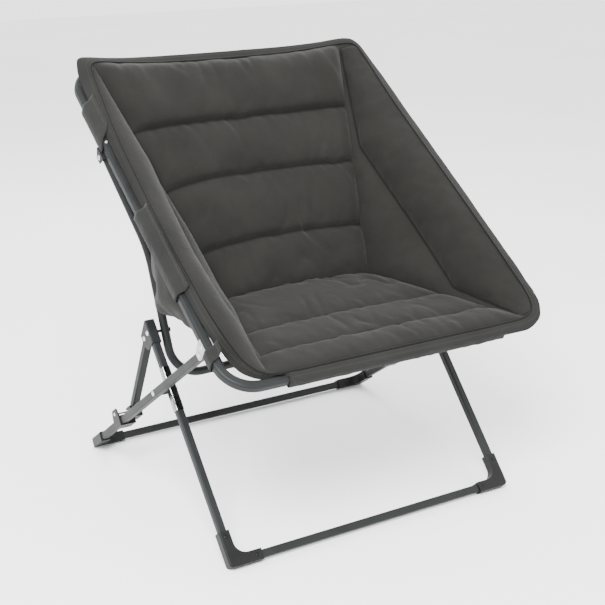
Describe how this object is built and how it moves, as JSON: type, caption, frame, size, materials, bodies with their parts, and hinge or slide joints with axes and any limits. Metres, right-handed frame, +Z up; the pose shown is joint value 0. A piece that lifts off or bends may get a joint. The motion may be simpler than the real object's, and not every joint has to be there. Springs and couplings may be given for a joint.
{
  "type": "folding_camping_chair",
  "caption": "Folding camping chair with a padded charcoal bucket sling on a dark tube hoop, crossed leg frames, a bent back frame and bracing struts that run along the rear legs.",
  "frame": {"origin": "on the floor under the middle of the chair's outline", "axes": "+X to the right seen from the front, -Y to the chair's front, +Z up"},
  "size_m": [0.7504, 0.7486, 0.8828],
  "materials": {
    "painted_tube": "satin gunmetal powder coat",
    "quilted_cloth": "padded woven polyester, charcoal",
    "sleeve_cloth": "woven polyester, charcoal",
    "black_plastic": "moulded black plastic",
    "zinc_plate": "zinc plated",
    "rivet_steel": "bright rivet",
    "white_bush": "plain plastic bush"
  },
  "bodies": {
    "rear_legs": {"rear_leg_left": "painted_tube", "rear_leg_right": "painted_tube", "rear_floor_bar": "painted_tube", "rear_foot_left": "black_plastic", "rear_foot_right": "black_plastic", "rear_foot_rivets": "rivet_steel", "crossing_spacers": "white_bush", "crossing_pins": "rivet_steel"},
    "front_legs": {"front_leg_left": "painted_tube", "front_leg_right": "painted_tube", "front_floor_bar": "painted_tube", "front_foot_left": "black_plastic", "front_foot_right": "black_plastic", "front_foot_rivets": "rivet_steel", "crossing_sleeve_left": "zinc_plate", "crossing_sleeve_right": "zinc_plate", "top_bracket_left": "painted_tube", "top_bracket_right": "painted_tube", "bracket_rivets": "rivet_steel", "strut_pins": "rivet_steel"},
    "struts": {"strut_left": "painted_tube", "strut_right": "painted_tube"},
    "runners": {"runner_left": "black_plastic", "runner_right": "black_plastic", "runner_rivets": "rivet_steel"},
    "seat_hoop": {"hoop_front_tube": "painted_tube", "hoop_rear_tube": "painted_tube", "hoop_splices": "painted_tube", "hoop_hinge_left": "zinc_plate", "hoop_hinge_right": "zinc_plate", "hoop_hinge_rivets": "rivet_steel", "hoop_hinge_pins": "rivet_steel", "back_bracket_left": "painted_tube", "back_bracket_right": "painted_tube", "back_bracket_pins": "rivet_steel", "back_bracket_rivets": "rivet_steel", "sling_back": "quilted_cloth", "sling_seat": "quilted_cloth", "sling_side_left": "quilted_cloth", "sling_side_right": "quilted_cloth", "sleeve_front": "sleeve_cloth", "sleeve_top": "sleeve_cloth", "sleeve_left": "sleeve_cloth", "sleeve_right": "sleeve_cloth", "strap_upper_left": "sleeve_cloth", "strap_upper_right": "sleeve_cloth", "strap_lower_left": "sleeve_cloth", "strap_lower_right": "sleeve_cloth"},
    "back_frame": {"back_frame_tube": "painted_tube", "back_frame_pivots": "rivet_steel"}
  },
  "joints": [
    {"name": "seat_fold", "type": "hinge", "parent": "rear_legs", "child": "seat_hoop", "pos_m": [0, -0.26003, 0.44027], "axis": [-1, 0, 0], "range_deg": [0, 51.73], "deforming": ["sling_back", "sling_seat", "sling_side_left", "sling_side_right"]},
    {"name": "leg_fold", "type": "hinge", "parent": "rear_legs", "child": "front_legs", "pos_m": [0, -0.03198, 0.27609], "axis": [1, 0, 0], "range_deg": [0, 90]},
    {"name": "back_fold", "type": "hinge", "parent": "seat_hoop", "child": "back_frame", "pos_m": [0, 0.17843, 0.71609], "axis": [-1, 0, 0], "range_deg": [0, 35.06]},
    {"name": "strut_fold", "type": "hinge", "parent": "front_legs", "child": "struts", "pos_m": [0, 0.07742, 0.35097], "axis": [-1, 0, 0], "range_deg": [0, 69.34]},
    {"name": "runner_slide", "type": "slide", "parent": "rear_legs", "child": "runners", "axis": [0, -0.8116, 0.5843], "range_m": [0, 0.14572]}
  ],
  "couplings": [
    {"joint": "leg_fold", "follows": "seat_fold", "ratio": 1.7399},
    {"joint": "back_fold", "follows": "seat_fold", "ratio": 0.67782},
    {"joint": "strut_fold", "follows": "seat_fold", "ratio": 1.3406},
    {"joint": "runner_slide", "follows": "seat_fold", "m_per_rad": 0.16141}
  ]
}
